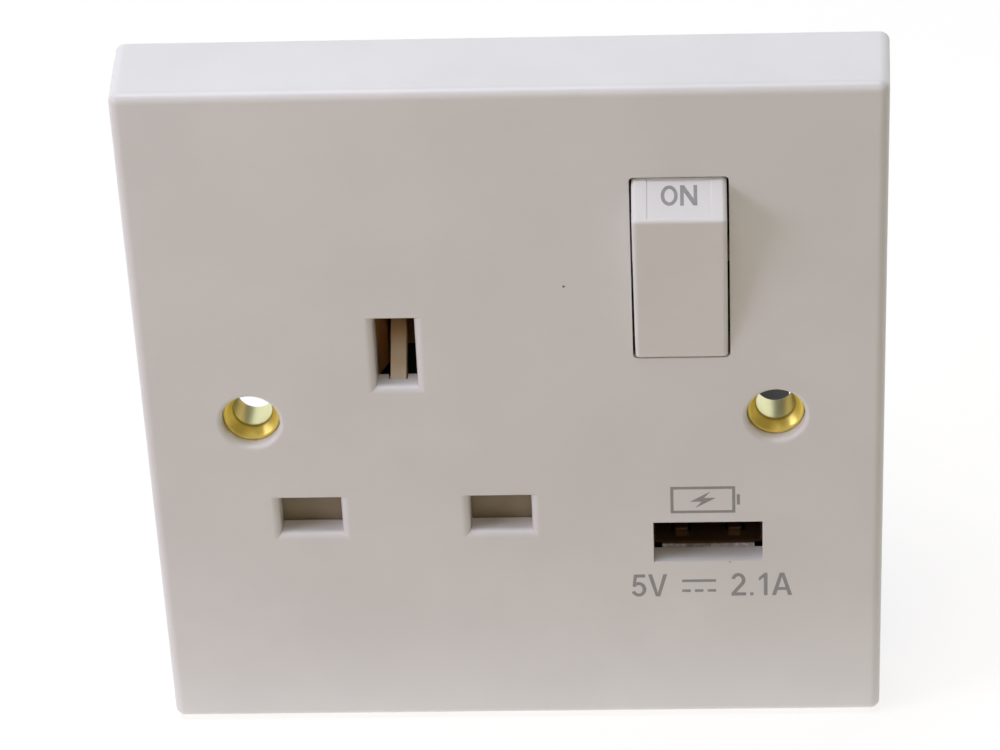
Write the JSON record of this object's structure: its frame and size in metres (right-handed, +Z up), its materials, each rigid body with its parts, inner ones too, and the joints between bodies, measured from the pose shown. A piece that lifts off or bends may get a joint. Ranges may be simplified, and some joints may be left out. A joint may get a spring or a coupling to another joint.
{
  "type": "usb wall socket",
  "caption": "Square white wall socket plate with shuttered flat-pin slots, a rocker switch, a USB charging port and brass-bushed fixing holes, over a rear housing with terminals.",
  "frame": {"origin": "on the wall plane at the plate's back edge, midway between the two fixing holes, which is the plate's centre", "axes": "+X to the right seen from the front, +Y into the wall, +Z up; the front faces -Y"},
  "size_m": [0.086, 0.0365, 0.086],
  "materials": {
    "white_moulding": "white moulded thermoset, satin gloss",
    "ivory_moulding": "ivory moulded nylon",
    "grey_moulding": "dark grey moulded housing",
    "black_moulding": "black moulded insulator",
    "brass": "bright pressed brass",
    "silver_tip": "silver alloy contact face",
    "gilt_contact": "gold-flashed contact",
    "plated_steel": "plated steel",
    "spring_steel": "drawn spring wire",
    "circuit_board": "green solder mask",
    "ferrite": "sintered ferrite",
    "coil_tape": "yellow polyester tape over the winding",
    "capacitor_sleeve": "dark shrink sleeve",
    "brown_sleeve": "brown lead insulation",
    "blue_sleeve": "blue lead insulation"
  },
  "bodies": {
    "base": {"faceplate": "white_moulding", "shutter_cover": "ivory_moulding", "shutter_spring": "spring_steel", "fixed_tip": "silver_tip", "line_feed": "brass", "line_bus": "brass", "line_contact": "brass", "neutral_bus": "brass", "neutral_contact": "brass", "earth_contact": "brass", "earth_strap": "brass", "eyelet_left": "brass", "eyelet_right": "brass", "line_terminal": "brass", "earth_terminal": "brass", "neutral_terminal": "brass", "terminal_screws": "brass", "line_shroud": "grey_moulding", "earth_shroud": "grey_moulding", "neutral_shroud": "grey_moulding", "rear_housing": "grey_moulding", "housing_screws": "plated_steel", "usb_shell": "plated_steel", "usb_tongue": "black_moulding", "usb_contacts": "gilt_contact", "usb_board": "circuit_board", "transformer_core": "ferrite", "transformer_coil": "coil_tape", "input_capacitor": "capacitor_sleeve", "output_capacitors": "capacitor_sleeve", "board_chips": "black_moulding", "line_lead": "brown_sleeve", "neutral_lead": "blue_sleeve"},
    "rocker": {"rocker": "white_moulding", "rocker_spring": "spring_steel"},
    "plunger": {"rocker_plunger": "ivory_moulding"},
    "seesaw": {"rocking_contact": "brass", "moving_tip": "silver_tip"},
    "shutter": {"shutter": "ivory_moulding"}
  },
  "joints": [
    {"name": "rocker_tilt", "type": "hinge", "parent": "base", "child": "rocker", "pos_m": [0.0195, -0.0069, 0.0197], "axis": [-1, 0, 0], "range_deg": [0, 15]},
    {"name": "plunger_slide", "type": "slide", "parent": "rocker", "child": "plunger", "axis": [0, -0.9914, -0.1305], "range_m": [0, 0.001], "stiffness_N_per_m": 800, "springref_m": -0.002, "deforming": ["rocker_spring"]},
    {"name": "contact_rock", "type": "hinge", "parent": "base", "child": "seesaw", "pos_m": [0.0195, 0.00756, 0.0197], "axis": [1, 0, 0], "range_deg": [0, 19]},
    {"name": "shutter_slide", "type": "slide", "parent": "base", "child": "shutter", "axis": [0, 0, -1], "range_m": [0, 0.0055], "stiffness_N_per_m": 150, "springref_m": -0.004, "deforming": ["shutter_spring"]}
  ],
  "couplings": [
    {"joint": "contact_rock", "follows": "rocker_tilt", "ratio": 1.2667}
  ]
}
